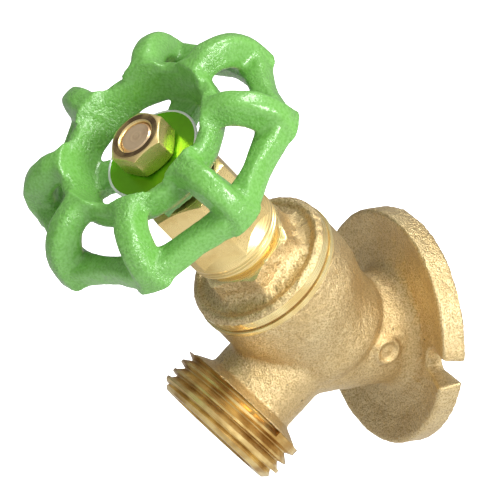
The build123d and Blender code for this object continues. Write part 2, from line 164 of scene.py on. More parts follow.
def make_piece(name, shape, place, materials, crease=35):
    """A finished shape as an object: in metres, normals out, smooth but for edges sharper than the crease."""
    bmesh.ops.recalc_face_normals(shape, faces=shape.faces)
    bmesh.ops.transform(shape, matrix=place, verts=shape.verts)
    for face in shape.faces:
        face.smooth = True
    for edge in shape.edges:
        edge.smooth = edge.calc_face_angle(0) < math.radians(crease)
    mesh = bpy.data.meshes.new(name)
    shape.to_mesh(mesh)
    shape.free()
    # A copy of a CAD mesh still carries the shading of its old faces.
    if "custom_normal" in mesh.attributes:
        mesh.attributes.remove(mesh.attributes["custom_normal"])
    for material in materials:
        mesh.materials.append(material)
    piece = bpy.data.objects.new(name, mesh)
    bpy.context.scene.collection.objects.link(piece)
    return piece


def linear(colour):
    """An sRGB hex colour as linear red, green, blue and alpha."""
    parts = [int(colour[place : place + 2], 16) / 255 for place in (1, 3, 5)]
    return [part / 12.92 if part <= 0.04045 else ((part + 0.055) / 1.055) ** 2.4 for part in parts] + [1]


def add_node(owner, kind, sockets, **settings):
    """Adds a node to a material or the world. Each socket gets a value, or a link from an output."""
    node = owner.node_tree.nodes.new(kind)
    for setting, value in settings.items():
        setattr(node, setting, value)
    for socket, value in sockets.items():
        if isinstance(value, bpy.types.NodeSocket):
            owner.node_tree.links.new(value, node.inputs[socket])
        else:
            node.inputs[socket].default_value = value
    return node


def new_material(name):
    """A material with no nodes yet."""
    material = bpy.data.materials.new(name)
    material.use_nodes = True
    material.node_tree.nodes.clear()
    return material


def cast_brass(name, grain, pit_spacing, soundness):
    """Brass as it leaves the sand: a dull tan skin of tiny bright grains, with painted shade in the hollows
    of the grain and in the pits.

    The grain and the spacing of the pits are in millimetres. The sounder the metal, the fewer its pits.
    """
    material = new_material(name)
    where = add_node(material, "ShaderNodeTexCoord", {}).outputs["Object"]
    sand = add_node(
        material, "ShaderNodeTexNoise",
        {"Vector": where, "Scale": 1 / (grain * MM), "Detail": 4.0, "Roughness": 0.65},
    ).outputs["Fac"]
    lumps = add_node(
        material, "ShaderNodeTexNoise", {"Vector": where, "Scale": 1 / (4 * grain * MM), "Detail": 2.0}
    ).outputs["Fac"]
    stain = add_node(
        material, "ShaderNodeTexNoise", {"Vector": where, "Scale": 1 / (STAIN_WIDTH * MM), "Detail": 4.0}
    ).outputs["Fac"]
    cells = add_node(
        material, "ShaderNodeTexVoronoi", {"Vector": where, "Scale": 1 / (pit_spacing * MM)}
    ).outputs["Distance"]
    hole = add_node(
        material, "ShaderNodeMapRange",
        {"Value": cells, "From Min": 0.05, "From Max": 0.16, "To Min": 1.0, "To Max": 0.0},
    ).outputs[0]
    flawed = add_node(
        material, "ShaderNodeMapRange",
        {"Value": stain, "From Min": soundness, "From Max": soundness + 0.04},
    ).outputs[0]
    pit_and_shade = add_node(material, "ShaderNodeMath", {0: hole, 1: flawed}, operation="MULTIPLY").outputs[0]
    stained = add_node(
        material, "ShaderNodeMapRange", {"Value": stain, "From Min": 0.35, "From Max": 0.7}
    ).outputs[0]
    # The grain is painted darker where its bump lies low: painted shade in its hollows.
    grain_hollow_shade = add_node(
        material, "ShaderNodeMapRange", {"Value": sand, "From Min": 0.38, "From Max": 0.56}
    ).outputs[0]
    skin = add_node(
        material, "ShaderNodeMix", {0: stained, 6: linear("#F0DAA8"), 7: linear("#DCC18C")}, data_type="RGBA"
    ).outputs[2]
    speckled = add_node(
        material, "ShaderNodeMix", {0: grain_hollow_shade, 6: linear("#BC9E68"), 7: skin}, data_type="RGBA"
    ).outputs[2]
    # The pits are real dents in the bump, and their dark brown is painted shade.
    colour = add_node(
        material, "ShaderNodeMix", {0: pit_and_shade, 6: speckled, 7: linear("#54412A")}, data_type="RGBA"
    ).outputs[2]
    coarse = add_node(
        material, "ShaderNodeBump", {"Height": lumps, "Strength": 1.0, "Distance": 0.25 * MM}
    ).outputs[0]
    pitted = add_node(
        material, "ShaderNodeBump", {"Height": pit_and_shade, "Strength": 0.8, "Distance": 0.15 * MM, "Normal": coarse},
        invert=True,
    ).outputs[0]
    fine = add_node(
        material, "ShaderNodeBump", {"Height": sand, "Strength": 1.0, "Distance": 0.2 * MM, "Normal": pitted}
    ).outputs[0]
    shader = add_node(
        material, "ShaderNodeBsdfPrincipled",
        {"Base Color": colour, "Metallic": 0.85, "Roughness": 0.34, "Normal": fine},
    )
    add_node(material, "ShaderNodeOutputMaterial", {"Surface": shader.outputs[0]})
    return material


# Foundry sand is about 0.2 mm across. Its grain is drawn a little coarser, so that it shows.
body_brass = cast_brass("sand_cast_brass", grain=0.32, pit_spacing=1.9, soundness=0.6)

shape = copy_of("valve_body")
saw_off(shape, stem_frame, BARREL_LIP_BOTTOM)
saw_off(shape, spout_frame, SPOUT_SHOULDER)
mark = spun(
    [
        (0, MARK_ROOT), (MARK_RADIUS + MARK_HEIGHT, MARK_ROOT), (MARK_RADIUS, MARK_HEIGHT),
        (MARK_RADIUS - MARK_RIM, MARK_HEIGHT), (MARK_RADIUS - 1.5 * MARK_RIM, MARK_FLOOR),
        (MARK_DOME_RADIUS, MARK_FLOOR), (0, MARK_DOME),
    ],
    MARK_STEPS,
)
sideways = Matrix.Rotation(math.radians(90), 4, "Y")
join(shape, mark, Matrix.Translation((NECK_RADIUS, -MARK_STATION, MARK_RISE)) @ sideways)
casting = cast(shape, BODY_GRID, EASE_PASSES)
roughen(casting, SAND_LUMP, SAND_LUMP_DEPTH)
roughen(casting, SAND_RIPPLE, SAND_RIPPLE_DEPTH)
# The flange's back is faced flat, so no lump stands out past the wall.
for vert in casting.verts:
    vert.co.y = min(vert.co.y, WALL)
body_casting = make_piece("body_casting", casting, valve_frame, [body_brass], crease=180)
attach(body_casting, "valve")
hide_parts("valve_body")

# Barrel lip
# The top of the body's barrel, where the lathe has faced it for the gasket and left a thin bright band.
ROUND_STEPS = 120
BARREL_RADIUS = 14.35
BARREL_TOP = 22.6
BARREL_BORE = 10.56
LIP_OVERLAP = 0.1
LATHE_EDGE = 0.12
TARNISH_AND_REFLECTION_WIDTH = 5.0


def machined_brass(name, line, colour, roughness, mark_depth, mark_width=0.17, tarnish_and_reflection="#E4C682"):
    """Brass from the lathe: bright metal with fine tool marks that run round the turning axis.

    The marks are in millimetres. Real ones lie about 0.1 mm apart, and these are drawn wider, so that they
    show. The metal fades in patches from its own colour to a second one: a duller tone on most parts,
    and painted dark reflections on the thread.
    """
    material = new_material(name)
    into = line.inverted()
    where = add_node(material, "ShaderNodeTexCoord", {}).outputs["Object"]
    on_axis = add_node(
        material, "ShaderNodeMapping",
        {
            "Vector": where, "Location": into.translation, "Rotation": into.to_euler(),
            "Scale": (1 / MM, 1 / MM, 1 / MM),
        },
    ).outputs[0]
    parts = add_node(material, "ShaderNodeSeparateXYZ", {"Vector": on_axis}).outputs
    flat = add_node(material, "ShaderNodeCombineXYZ", {"X": parts["X"], "Y": parts["Y"]}).outputs[0]
    radius = add_node(material, "ShaderNodeVectorMath", {0: flat}, operation="LENGTH").outputs["Value"]
    turned = add_node(material, "ShaderNodeCombineXYZ", {"X": radius, "Y": parts["Z"]}).outputs[0]
    tool = add_node(
        material, "ShaderNodeTexNoise", {"Vector": turned, "Scale": 1 / mark_width, "Detail": 2.0}
    ).outputs["Fac"]
    patches = add_node(
        material, "ShaderNodeTexNoise",
        {"Vector": where, "Scale": 1 / (TARNISH_AND_REFLECTION_WIDTH * MM), "Detail": 3.0},
    ).outputs["Fac"]
    # On the thread these patches are painted dark reflections; on other parts they are a duller tone of the
    # metal.
    tarnish_and_reflection_share = add_node(
        material, "ShaderNodeMapRange", {"Value": patches, "From Min": 0.4, "From Max": 0.65}
    ).outputs[0]
    tint = add_node(
        material, "ShaderNodeMix", {0: tarnish_and_reflection_share, 6: linear(colour), 7: linear(tarnish_and_reflection)},
        data_type="RGBA",
    ).outputs[2]
    gloss = add_node(
        material, "ShaderNodeMapRange",
        {
            "Value": tool, "From Min": 0.3, "From Max": 0.7,
            "To Min": roughness * 0.7, "To Max": roughness * 1.4,
        },
    ).outputs[0]
    bumped = add_node(
        material, "ShaderNodeBump", {"Height": tool, "Strength": 0.6, "Distance": mark_depth * MM}
    ).outputs[0]
    shader = add_node(
        material, "ShaderNodeBsdfPrincipled",
        {"Base Color": tint, "Metallic": 0.85, "Roughness": gloss, "Normal": bumped},
    )
    add_node(material, "ShaderNodeOutputMaterial", {"Surface": shader.outputs[0]})
    return material


def ease_edges(shape, width, sharper_than=25):
    """Breaks every edge sharper than an angle with a narrow round."""
    edges = [edge for edge in shape.edges if edge.calc_face_angle(0) > math.radians(sharper_than)]
    bmesh.ops.bevel(
        shape, geom=edges, offset=width, offset_type="OFFSET", segments=2, profile=0.5, affect="EDGES",
        material=-1, clamp_overlap=True,
    )


# Freshly turned faces shine pale yellow in fine rings.
turned_brass = machined_brass("turned_brass", stem_frame, "#F6E3A6", roughness=0.26, mark_depth=0.02)
lip_foot = BARREL_LIP_BOTTOM - LIP_OVERLAP
lip = spun(
    [
        (BARREL_BORE, lip_foot), (BARREL_RADIUS, lip_foot),
        (BARREL_RADIUS, BARREL_TOP), (BARREL_BORE, BARREL_TOP),
    ],
    ROUND_STEPS, closed=True,
)
ease_edges(lip, LATHE_EDGE)
barrel_lip = make_piece("barrel_lip", lip, stem_frame, [turned_brass])
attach(barrel_lip, "valve")

# Hose end
# The end of the same casting, turned down and cut with a right-hand hose thread. It is bright from the
# tool and warmer than a turned face, with brown patches painted on as dark reflections.
# The brown patches on the thread are painted dark reflections.
thread_brass = machined_brass(
    "threaded_brass", spout_frame, "#F0D490", roughness=0.3, mark_depth=0.02, tarnish_and_reflection="#B8904E"
)
thread = copy_of("valve_body")
saw_off(thread, spout_frame, SPOUT_SHOULDER, far_side=False)
hose_end = make_piece("hose_end", thread, valve_frame, [thread_brass], crease=22)
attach(hose_end, "valve")

# Bonnet gasket
# A thin ring punched from brown fibre sheet, and crushed between the body and the bonnet until the joint
# is tight.


def dress(node, material):
    """Gives a CAD node its finish."""
    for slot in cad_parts[node].material_slots:
        slot.material = material


def soft_ring(name, colour, fleck, size, roughness):
    """Rubber, fibre or packing: dull, dark and slightly mottled."""
    material = new_material(name)
    where = add_node(material, "ShaderNodeTexCoord", {}).outputs["Object"]
    mottle = add_node(
        material, "ShaderNodeTexNoise", {"Vector": where, "Scale": 1 / (size * MM), "Detail": 3.0}
    ).outputs["Fac"]
    tint = add_node(
        material, "ShaderNodeMix", {0: mottle, 6: linear(colour), 7: linear(fleck)}, data_type="RGBA"
    ).outputs[2]
    bumped = add_node(
        material, "ShaderNodeBump", {"Height": mottle, "Strength": 0.5, "Distance": 0.05 * MM}
    ).outputs[0]
    shader = add_node(
        material, "ShaderNodeBsdfPrincipled", {"Base Color": tint, "Roughness": roughness, "Normal": bumped}
    )
    add_node(material, "ShaderNodeOutputMaterial", {"Surface": shader.outputs[0]})
    return material


dress("bonnet_gasket", soft_ring("fibre_gasket", "#7A5A2C", "#94723C", size=0.3, roughness=0.8))

# Bonnet
# A brass casting with a rough hexagon on a round rim. The lathe has turned the rim's side, the cone that
# cuts the hexagon's corners, and the two rings under the packing nut; the rest is as cast, with a few pits.
BONNET_SEAT = 23.0
RIM_RADIUS = 14.0
RIM_TOP = 24.7
TROUGH_RADIUS = 11.7
TROUGH_STATION = 25.15
BEAD_RISE = 0.5
BEAD_SPREAD = 0.8
BEAD_LEAN = 0.9
RIM_ROUNDING = 3
HEXAGON = 17.0
HEXAGON_TURN = 38.4
HEXAGON_TOP = 30.9
HEXAGON_FILLET = 2.3
CONE_TOP_RADIUS = 7.9
CONE_SLOPE = math.tan(math.radians(35))
CORNER_EASE = 3.0
UPPER_NECK_RADIUS = 6.7
UPPER_NECK_TOP = 45.0
# Radius and station of each corner of the two rings
TURNED_RINGS = [(7.25, 32.5), (7.4, 32.2), (6.9, 31.9), (7.7, 31.6), (7.7, 31.15), (7.4, HEXAGON_TOP)]
FORM_ROWS = 12
BONNET_LUMP = 1.8
BONNET_LUMP_DEPTH = 0.2
BONNET_RIPPLE = 0.7
BONNET_RIPPLE_DEPTH = 0.12
LUMP_LEAN = 6
SHANK_RADIUS = 10.5
SHANK_BOTTOM = 18.0
THREAD_BORE = 4.85
THREAD_BORE_TOP = 29.0
STEM_BORE = 3.55
STUFFING_BOX = 5.6
STUFFING_BOX_FLOOR = 33.0


def hexagon_reach(turn, across_flats, corner_turn, ease=0.0):
    """How far a hexagon's side lies from its centre at a turn, with corners eased over some degrees."""
    reach = 0
    for shift in (-ease, 0, ease):
        from_flat = (turn + shift - corner_turn) % 60 - 30
        reach += across_flats / 2 / math.cos(math.radians(from_flat)) / 3
    return reach


# The outline runs down from the neck: turned rings, the hexagon's wall, the fillet at its foot, the bead
# along the rim, and then the rim's side, the shank and the bores.
corner_radius = HEXAGON / 2 / math.cos(math.radians(30))
wall_foot = TROUGH_STATION + HEXAGON_FILLET
profile = [(UPPER_NECK_RADIUS, UPPER_NECK_TOP), (UPPER_NECK_RADIUS, TURNED_RINGS[0][1])]
profile += [*TURNED_RINGS, (CONE_TOP_RADIUS, HEXAGON_TOP)]
wall_first = len(profile)
for row in range(FORM_ROWS):
    profile.append((corner_radius, HEXAGON_TOP - (HEXAGON_TOP - wall_foot) * row / FORM_ROWS))
fillet_first = len(profile)
for row in range(FORM_ROWS):
    turn = math.radians(90 * (row + 1) / FORM_ROWS)
    fillet_radius = corner_radius + (TROUGH_RADIUS - corner_radius) * (1 - math.cos(turn))
    profile.append((fillet_radius, TROUGH_STATION + HEXAGON_FILLET * (1 - math.sin(turn))))
bead_first = len(profile)
for row in range(FORM_ROWS):
    share = (row + 1) / FORM_ROWS
    bead_radius = TROUGH_RADIUS + (RIM_RADIUS - TROUGH_RADIUS) * share ** BEAD_SPREAD
    bead = BEAD_RISE * math.sin(math.pi * share ** BEAD_LEAN)
    profile.append((bead_radius, TROUGH_STATION + bead - (TROUGH_STATION - RIM_TOP) * share ** RIM_ROUNDING))
rim_first = len(profile)
profile += [(RIM_RADIUS, BONNET_SEAT), (SHANK_RADIUS, BONNET_SEAT), (SHANK_RADIUS, SHANK_BOTTOM)]
profile += [(THREAD_BORE, SHANK_BOTTOM), (THREAD_BORE, THREAD_BORE_TOP), (STEM_BORE, THREAD_BORE_TOP)]
profile += [(STEM_BORE, STUFFING_BOX_FLOOR), (STUFFING_BOX, STUFFING_BOX_FLOOR)]
profile += [(STUFFING_BOX, UPPER_NECK_TOP)]
bonnet_shape = spun(profile, 2 * ROUND_STEPS, closed=True)
number = bonnet_shape.verts.layers.int["number"]

# The wall is pressed in to the hexagon and its top is cut to a cone. All that stays cast gets lumps, which
# stand out sideways and a little upwards.
for vert in bonnet_shape.verts:
    turn = math.atan2(vert.co.y, vert.co.x)
    reach = hexagon_reach(math.degrees(turn), HEXAGON, HEXAGON_TURN, CORNER_EASE)
    cone_bottom = HEXAGON_TOP - (reach - CONE_TOP_RADIUS) * CONE_SLOPE
    place = vert[number]
    radius = math.hypot(vert.co.x, vert.co.y)
    station = vert.co.z
    if wall_first <= place < fillet_first:
        radius = reach
        station = cone_bottom + (wall_foot - cone_bottom) * (place - wall_first) / FORM_ROWS
    elif fillet_first <= place < bead_first:
        share = (radius - corner_radius) / (TROUGH_RADIUS - corner_radius)
        radius = reach + (TROUGH_RADIUS - reach) * share
    vert.co = (radius * math.cos(turn), radius * math.sin(turn), station)
    if wall_first < place < rim_first - 1:
        lump = BONNET_LUMP_DEPTH * noise.noise(vert.co / BONNET_LUMP)
        ripple = BONNET_RIPPLE_DEPTH * noise.noise(vert.co / BONNET_RIPPLE)
        outward = Vector((vert.co.x, vert.co.y, LUMP_LEAN)).normalized()
        vert.co += outward * (lump + ripple)
for face in bonnet_shape.faces:
    places = [vert[number] for vert in face.verts]
    face.material_index = 0 if min(places) >= wall_first and max(places) < rim_first else 1
# The bonnet was cast in coarser sand than the body and has more pits.
bonnet_brass = cast_brass("sand_cast_bonnet_brass", grain=0.36, pit_spacing=1.4, soundness=0.5)
bonnet_top = make_piece("bonnet_top", bonnet_shape, stem_frame, [bonnet_brass, turned_brass], crease=40)
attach(bonnet_top, "valve")
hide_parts("bonnet")

# Packing washer, packing and gland
# Inside the stuffing box: a brass ring, a graphited packing ring and the brass follower that presses on it.
dress("packing_washer", turned_brass)
dress("stem_packing", soft_ring("graphited_packing", "#3A3A38", "#5A5A55", size=0.4, roughness=0.6))
dress("packing_gland", turned_brass)

# Packing nut
# A brass nut turned from hexagon bar: a grooved collar below, flats as drawn, and corners cut by a shallow
# cone on top. It screws down over the bonnet's neck and presses on the gland.
PACKING_NUT_HEXAGON = 15.9
PACKING_NUT_TURN = 51.9
PACKING_NUT_TOP_RADIUS = 7.7
PACKING_NUT_BORE = 6.76
GLAND_TOP = 47.0
COLLAR_RADIUS = 9.3
COLLAR_HEIGHT = 2.4
# How far each corner of the collar lies inside its radius, and its height over the nut's foot
COLLAR_TURNING = [
    (0.3, 0), (0.05, 0.25), (0.05, 0.6), (0.35, 0.8), (0.05, 1.0), (0, 1.35), (0.3, 1.55), (0, 1.75),
    (0, COLLAR_HEIGHT),
]
COLLAR_FLARE = 1.3
NUT_CONE_SLOPE = math.tan(math.radians(30))
NUT_EDGE = 0.16
BORE_CHAMFER = 0.35


def span(node, line):
    """A CAD node's lowest and highest station on an axis and its largest radius, in millimetres."""
    into = line.inverted()
    spots = [into @ vert.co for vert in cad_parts[node].data.vertices]
    stations = [spot.z for spot in spots]
    return min(stations), max(stations), max(math.hypot(spot.x, spot.y) for spot in spots)


def hexagon_nut(low, high, across_flats, corner_turn, top_radius, bore, collar=()):
    """A hexagon bar with a bore. Cones cut its corners at both ends, or its flats flare out to a collar.

    The collar's points are of (radius, station). The faced top takes the second material.
    """
    rows = [*collar, (across_flats, low), (across_flats, high), (top_radius, high)]
    rows += [(bore + BORE_CHAMFER, high), (bore, high - BORE_CHAMFER)]
    first = len(collar)
    if not collar:
        rows += [(bore, low), (top_radius, low)]
    shape = spun(rows, ROUND_STEPS, closed=True)
    number = shape.verts.layers.int["number"]
    for vert in shape.verts:
        if vert[number] not in (first, first + 1):
            continue
        turn = math.atan2(vert.co.y, vert.co.x)
        reach = hexagon_reach(math.degrees(turn), across_flats, 0)
        cone = (reach - top_radius) * NUT_CONE_SLOPE
        foot = (collar[-1][0] - reach) * COLLAR_FLARE if collar else cone
        station = low + foot if vert[number] == first else high - cone
        vert.co = (reach * math.cos(turn), reach * math.sin(turn), station)
    for face in shape.faces:
        places = [vert[number] for vert in face.verts]
        face.material_index = 1 if first + 2 <= min(places) and max(places) <= first + 3 else 0
    bmesh.ops.rotate(shape, matrix=Matrix.Rotation(math.radians(corner_turn), 3, "Z"), verts=shape.verts)
    ease_edges(shape, NUT_EDGE)
    return shape


nut_low, nut_high = span("packing_nut", stem_frame)[:2]
collar = [(STEM_BORE, GLAND_TOP), (PACKING_NUT_BORE, GLAND_TOP), (PACKING_NUT_BORE, nut_low)]
collar += [(COLLAR_RADIUS - inset, nut_low + height) for inset, height in COLLAR_TURNING]
nut_shape = hexagon_nut(
    nut_low + COLLAR_HEIGHT, nut_high, PACKING_NUT_HEXAGON, PACKING_NUT_TURN, PACKING_NUT_TOP_RADIUS,
    STEM_BORE, collar,
)
# Drawn bar is smooth, with broad soft reflections. The faced tops are painted dull dark brown as painted
# shade.
drawn_brass = machined_brass("drawn_brass", stem_frame, "#F4DA98", roughness=0.32, mark_depth=0.006)
painted_shade_top_brass = machined_brass(
    "painted_shade_top_brass", stem_frame, "#7A6344", roughness=0.3, mark_depth=0.03, mark_width=0.4
)
packing_nut_bar = make_piece("packing_nut_bar", nut_shape, stem_frame, [drawn_brass, painted_shade_top_brass], crease=30)
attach(packing_nut_bar, "valve")
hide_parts("packing_nut")

# Stem, seat washer and bibb screw
# A turned brass stem. The rubber washer sits in the cup on its foot, held by a slotted brass screw.
# The stem's end was sawn off and left so: pinkish, dull and coarsely ridged.
stem_brass = machined_brass(
    "stem_brass", stem_frame, "#F8DAB0", roughness=0.4, mark_depth=0.2, mark_width=0.6, tarnish_and_reflection="#CCA478"
)
dress("stem", stem_brass)
dress("seat_washer", soft_ring("black_rubber", "#1C1C1C", "#2A2A2A", size=0.5, roughness=0.55))
dress("bibb_screw", turned_brass)

# Handwheel
# A die casting dipped in bright green enamel: a hub on three arms, a funnel-shaped ring, and eight arched
# fins that flare out of the ring and come down on a scalloped rim. The paint is glossy and lumpy.
WHEEL_GRID = 0.4
WHEEL_GAP = 0.7
WHEEL_TURN = 3.9
FINS = 8
ARMS = 3
# Hub and ring, with heights from the hub's top
HUB_RADIUS = 7.4
HUB_STEPS = 64
FUNNEL_FOOT = 12.0
FUNNEL_FOOT_EASE = 0.1
FUNNEL_MOUTH_EASE = 0.9
FUNNEL_SLOPE = 0.386
RING_HEIGHT = 5.7
RING_FOOT = 0.7
RING_FOOT_WALL = 2.6
RING_KNEE = 1.5
RING_OUTSIDE = 16.6
RING_EDGE = 0.6
RING_STEPS = 128
# Rim
RIM_INSIDE = 20.5
RIM_TIP = 27.8
RIM_VALLEY = 24.6
RIM_DROP = 5.8
RIM_HEIGHT = 5.2
RIM_CORNERS = 16
RIM_ROUNDNESS = 0.55
RIM_STEPS = 256
SCALLOP_SHARPNESS = 1.1
# Fins, with shares of their length
FIN_TOP = 7.7
FIN_BEND_RADIUS = 17.2
FIN_WIDTH = 5.4
FIN_DRAFT = 0.26
FIN_DEPTH_ON_TOP = 4.9
FIN_DEPTH_OUTSIDE = 6.6
FIN_CORNERS = 24
FIN_ROWS = 28
FIN_ROUNDNESS = 0.5
FIN_FLAT_SHARE = 0.3
FIN_BEND_SHARE = 0.8
FIN_FOOT_LIFT = 0.8
FIN_ROOT_SHARE = 0.35
FIN_ROOT_FLARE = 0.9
FIN_FOOT_SHARE = 0.3
FIN_FOOT_FLARE = 0.7
# Arms
ARM_TURN = 110.0
ARM_WIDTH = 6.4
ARM_THICKNESS = 2.8
ARM_START = 5.9
ARM_LENGTH = 7.1
ARM_FLARE = 0.5
ARM_ROWS = 8
# Lumps in the casting and the paint
CASTING_LUMP = 3.5
CASTING_LUMP_DEPTH = 0.2
CASTING_RIPPLE = 1.3
CASTING_RIPPLE_DEPTH = 0.06
PAINT_PEBBLE = 0.5
PAINT_LUMP = 2.4
PAINT_PATCH = 7.0
hub_low = nut_high + WHEEL_GAP
hub_high = span("handwheel_plate", stem_frame)[0]


def scallop(turn):
    """How far the rim is swelled at a turn: 1 under a fin and 0 midway between two."""
    return 1 - abs(math.sin(FINS / 2 * (turn - math.radians(WHEEL_TURN)))) ** SCALLOP_SHARPNESS


def squared(number, roundness):
    """A sine or cosine swelled towards 1, which turns a circle into a square with round corners."""
    return math.copysign(abs(number) ** roundness, number)


wheel = bmesh.new()
hub_shape = spun(
    [(STEM_BORE, hub_low), (HUB_RADIUS, hub_low), (HUB_RADIUS, hub_high), (STEM_BORE, hub_high)],
    HUB_STEPS, closed=True,
)
join(wheel, hub_shape)

ring_low = hub_high - RING_FOOT
ring_crest = hub_high + RING_HEIGHT
ring_shape = spun(
    [
        (FUNNEL_FOOT + FUNNEL_MOUTH_EASE, ring_low), (FUNNEL_FOOT + FUNNEL_FOOT_EASE, hub_high),
        (FUNNEL_FOOT + FUNNEL_SLOPE * RING_HEIGHT, ring_crest), (RING_OUTSIDE - RING_EDGE, ring_crest),
        (RING_OUTSIDE, ring_crest - RING_EDGE), (RING_OUTSIDE, hub_high + RING_KNEE),
        (FUNNEL_FOOT + RING_FOOT_WALL, ring_low),
    ],
    RING_STEPS, closed=True,
)
join(wheel, ring_shape)

# The rim is spun round and then pressed in between the fins.
rim_low = hub_high - RIM_DROP
rim_profile = []
for corner in range(RIM_CORNERS):
    turn = math.tau * corner / RIM_CORNERS
    across = squared(math.cos(turn), RIM_ROUNDNESS)
    along = squared(math.sin(turn), RIM_ROUNDNESS)
    rim_radius = (RIM_INSIDE + RIM_TIP + (RIM_TIP - RIM_INSIDE) * across) / 2
    rim_profile.append((rim_radius, rim_low + RIM_HEIGHT * (1 + along) / 2))
rim_shape = spun(rim_profile, RIM_STEPS, closed=True)
for vert in rim_shape.verts:
    radius = math.hypot(vert.co.x, vert.co.y)
    reach = RIM_VALLEY + (RIM_TIP - RIM_VALLEY) * scallop(math.atan2(vert.co.y, vert.co.x))
    share = (radius - RIM_INSIDE) / (RIM_TIP - RIM_INSIDE)
    new_radius = RIM_INSIDE + (reach - RIM_INSIDE) * share
    vert.co.x *= new_radius / radius
    vert.co.y *= new_radius / radius
join(wheel, rim_shape)

# Each fin is an upright rounded bar whose rows are bent in turn: level out of the funnel, over the arch and
# down to the rim. It flares at both ends and is narrower on its outer side, to draw from the mould.
top_line = hub_high + FIN_TOP - FIN_DEPTH_ON_TOP / 2
outer_line = RIM_TIP - FIN_DEPTH_OUTSIDE / 2
bend = outer_line - FIN_BEND_RADIUS
arch_end = top_line - bend
for fin in range(FINS):
    fin_shape = bmesh.new()
    bmesh.ops.create_cone(fin_shape, cap_ends=True, segments=FIN_CORNERS, radius1=1, radius2=1, depth=1)
    sides = [edge for edge in fin_shape.edges if abs(edge.verts[0].co.z - edge.verts[1].co.z) > 0.5]
    bmesh.ops.subdivide_edges(fin_shape, edges=sides, cuts=FIN_ROWS, use_grid_fill=True)
    for vert in fin_shape.verts:
        along = vert.co.z + 0.5
        side = squared(vert.co.x, FIN_ROUNDNESS)
        depth = squared(vert.co.y, FIN_ROUNDNESS)
        if along < FIN_FLAT_SHARE:
            height = top_line + FIN_DEPTH_ON_TOP / 2 * depth
            inner = FUNNEL_FOOT + FUNNEL_SLOPE * (height - hub_high)
            radius = inner + (FIN_BEND_RADIUS - inner) * along / FIN_FLAT_SHARE
        elif along < FIN_BEND_SHARE:
            share = (along - FIN_FLAT_SHARE) / (FIN_BEND_SHARE - FIN_FLAT_SHARE)
            lean = math.radians(90) * share
            half_depth = (FIN_DEPTH_ON_TOP + (FIN_DEPTH_OUTSIDE - FIN_DEPTH_ON_TOP) * share) / 2
            radius = FIN_BEND_RADIUS + (bend + half_depth * depth) * math.sin(lean)
            height = arch_end + (bend + half_depth * depth) * math.cos(lean)
        else:
            share = (along - FIN_BEND_SHARE) / (1 - FIN_BEND_SHARE)
            radius = outer_line + FIN_DEPTH_OUTSIDE / 2 * depth
            height = arch_end + (rim_low + FIN_FOOT_LIFT - arch_end) * share
        root = max(0, 1 - along / FIN_ROOT_SHARE)
        foot = max(0, 1 - (1 - along) / FIN_FOOT_SHARE)
        flare = 1 + FIN_ROOT_FLARE * root ** 2 + FIN_FOOT_FLARE * foot ** 1.5
        vert.co = (radius, FIN_WIDTH / 2 * side * flare * (1 - FIN_DRAFT * depth), height)
    join(wheel, fin_shape, Matrix.Rotation(math.radians(WHEEL_TURN + 360 / FINS * fin), 4, "Z"))

# Each arm is a flat bar that widens where it meets the hub and the ring.
for arm in range(ARMS):
    arm_shape = bmesh.new()
    bmesh.ops.create_cube(arm_shape, size=1)
    bmesh.ops.subdivide_edges(arm_shape, edges=arm_shape.edges[:], cuts=ARM_ROWS, use_grid_fill=True)
    for vert in arm_shape.verts:
        share = vert.co.x + 0.5
        flare = 1 + ARM_FLARE * (2 * share - 1) ** 4
        vert.co.x = ARM_START + ARM_LENGTH * share
        vert.co.y *= ARM_WIDTH * flare
        vert.co.z = hub_high - ARM_THICKNESS / 2 + ARM_THICKNESS * vert.co.z
    join(wheel, arm_shape, Matrix.Rotation(math.radians(ARM_TURN + 360 / ARMS * arm), 4, "Z"))

wheel = cast(wheel, WHEEL_GRID, EASE_PASSES)
roughen(wheel, CASTING_LUMP, CASTING_LUMP_DEPTH)
roughen(wheel, CASTING_RIPPLE, CASTING_RIPPLE_DEPTH)


